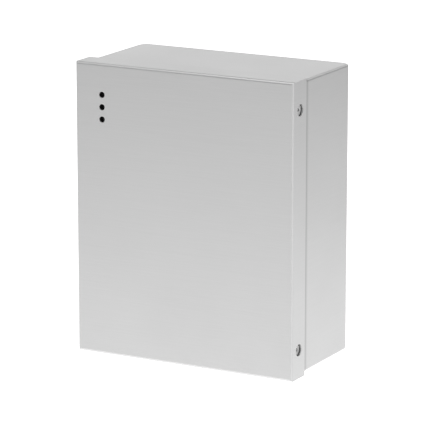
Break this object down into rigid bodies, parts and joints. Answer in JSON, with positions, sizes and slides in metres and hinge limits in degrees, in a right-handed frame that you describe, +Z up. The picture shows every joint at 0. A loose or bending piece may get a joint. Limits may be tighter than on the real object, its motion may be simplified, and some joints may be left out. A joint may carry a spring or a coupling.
{
  "type": "wall-mounted metal cabinet",
  "caption": "Stainless sheet wall cabinet with a slip-over tray cover, indicator holes, recessed side lock screws, and a power board and sealed battery inside.",
  "frame": {"origin": "on the wall plane, at the middle of the cabinet's back", "axes": "+Z up, +Y into the wall, the cover faces -Y, +X to the right seen from the front"},
  "size_m": [0.2036, 0.11, 0.2496],
  "materials": {
    "stainless_sheet": "fine brushed satin",
    "screw_steel": "bright machined steel",
    "plated_steel": "zinc plated, satin",
    "plated_brass": "machined",
    "seal_foam": "matt closed-cell foam",
    "grommet_rubber": "matt rubber",
    "black_plastic": "moulded, matt",
    "lens_plastic": "dark tinted lens",
    "circuit_board": "solder mask",
    "battery_case": "moulded, fine grain",
    "terminal_plastic": "moulded, satin",
    "core_steel": "stacked laminations",
    "winding_tape": "wrapped polyester tape",
    "capacitor_sleeve": "shrunk sleeve",
    "sink_aluminium": "black anodised",
    "relay_case": "moulded, glossy",
    "choke_winding": "enamelled copper wire",
    "fuse_glass": "clear glass with plated caps"
  },
  "bodies": {
    "cabinet": {"battery": "battery_case", "battery_bracket": "plated_steel", "battery_pad": "seal_foam", "battery_tabs": "plated_brass", "board_header": "black_plastic", "board_screws": "screw_steel", "board_standoffs": "plated_brass", "bracket_screws": "screw_steel", "cabinet_body": "stainless_sheet", "cabinet_bottom": "stainless_sheet", "cabinet_top": "stainless_sheet", "cable_grommet_front": "grommet_rubber", "cable_grommet_rear": "grommet_rubber", "choke": "choke_winding", "earth_nut": "plated_brass", "earth_stud": "plated_brass", "fuse_holder": "black_plastic", "glass_fuse": "fuse_glass", "heat_sink": "sink_aluminium", "lock_bush_lower_left": "screw_steel", "lock_bush_lower_right": "screw_steel", "lock_bush_upper_left": "screw_steel", "lock_bush_upper_right": "screw_steel", "mains_terminals": "terminal_plastic", "mounting_plate": "plated_steel", "output_terminals": "terminal_plastic", "plate_nuts": "plated_steel", "plate_studs": "plated_steel", "power_board": "circuit_board", "power_transistors": "black_plastic", "relay": "relay_case", "smoothing_capacitor_1": "capacitor_sleeve", "smoothing_capacitor_2": "capacitor_sleeve", "smoothing_capacitor_3": "capacitor_sleeve", "terminal_screws": "screw_steel", "transformer_coil": "winding_tape", "transformer_core": "core_steel"},
    "cover_assembly": {"cover": "stainless_sheet", "cover_seal": "seal_foam", "indicator_shroud": "black_plastic", "indicator_board": "circuit_board", "indicator_led_1": "lens_plastic", "indicator_led_2": "lens_plastic", "indicator_led_3": "lens_plastic", "indicator_studs": "plated_steel", "indicator_nuts": "plated_steel", "indicator_header": "black_plastic"},
    "lock_screw_lower_left": {"lock_screw_lower_left": "screw_steel"},
    "lock_screw_upper_left": {"lock_screw_upper_left": "screw_steel"},
    "lock_screw_lower_right": {"lock_screw_lower_right": "screw_steel"},
    "lock_screw_upper_right": {"lock_screw_upper_right": "screw_steel"}
  },
  "joints": [
    {"name": "cover_slide", "type": "slide", "parent": "cabinet", "child": "cover_assembly", "axis": [0, -1, 0], "range_m": [0, 0.04]},
    {"name": "lock_screw_lower_left_travel", "type": "slide", "parent": "cabinet", "child": "lock_screw_lower_left", "axis": [-1, 0, 0], "range_m": [0, 0.0015]},
    {"name": "lock_screw_upper_left_travel", "type": "slide", "parent": "cabinet", "child": "lock_screw_upper_left", "axis": [-1, 0, 0], "range_m": [0, 0.0015]},
    {"name": "lock_screw_lower_right_travel", "type": "slide", "parent": "cabinet", "child": "lock_screw_lower_right", "axis": [1, 0, 0], "range_m": [0, 0.0015]},
    {"name": "lock_screw_upper_right_travel", "type": "slide", "parent": "cabinet", "child": "lock_screw_upper_right", "axis": [1, 0, 0], "range_m": [0, 0.0015]}
  ]
}
